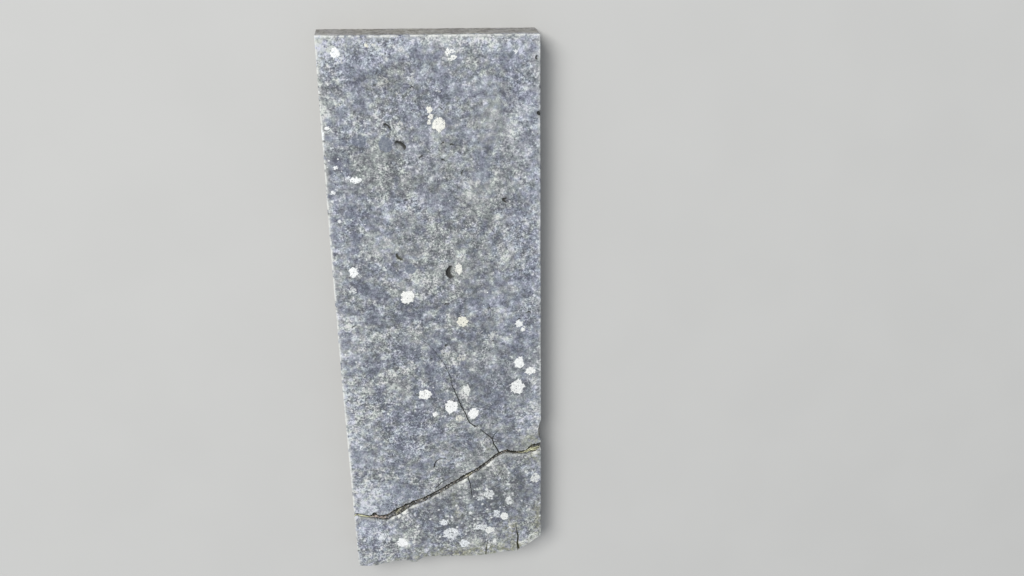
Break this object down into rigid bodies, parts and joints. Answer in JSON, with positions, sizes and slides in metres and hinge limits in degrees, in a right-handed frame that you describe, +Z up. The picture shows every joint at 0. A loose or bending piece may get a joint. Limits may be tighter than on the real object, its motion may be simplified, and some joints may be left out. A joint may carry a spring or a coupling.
{
  "type": "grave slab",
  "caption": "Plain grey limestone grave slab lying flat, cracked right across near its foot, with worn edges, fossil hollows, a hairline crack and a lost corner.",
  "frame": {"origin": "middle of the slab's bounding box, on its flat underside", "axes": "+Z up out of the face, +Y along the slab to its head end, +X across to the right of someone at the foot who looks to the head"},
  "size_m": [0.6099, 1.7297, 0.0999],
  "materials": {
    "head_stone": "matte",
    "foot_stone": "matte"
  },
  "bodies": {
    "root": {"head_piece": "head_stone", "foot_piece": "foot_stone"}
  },
  "joints": []
}
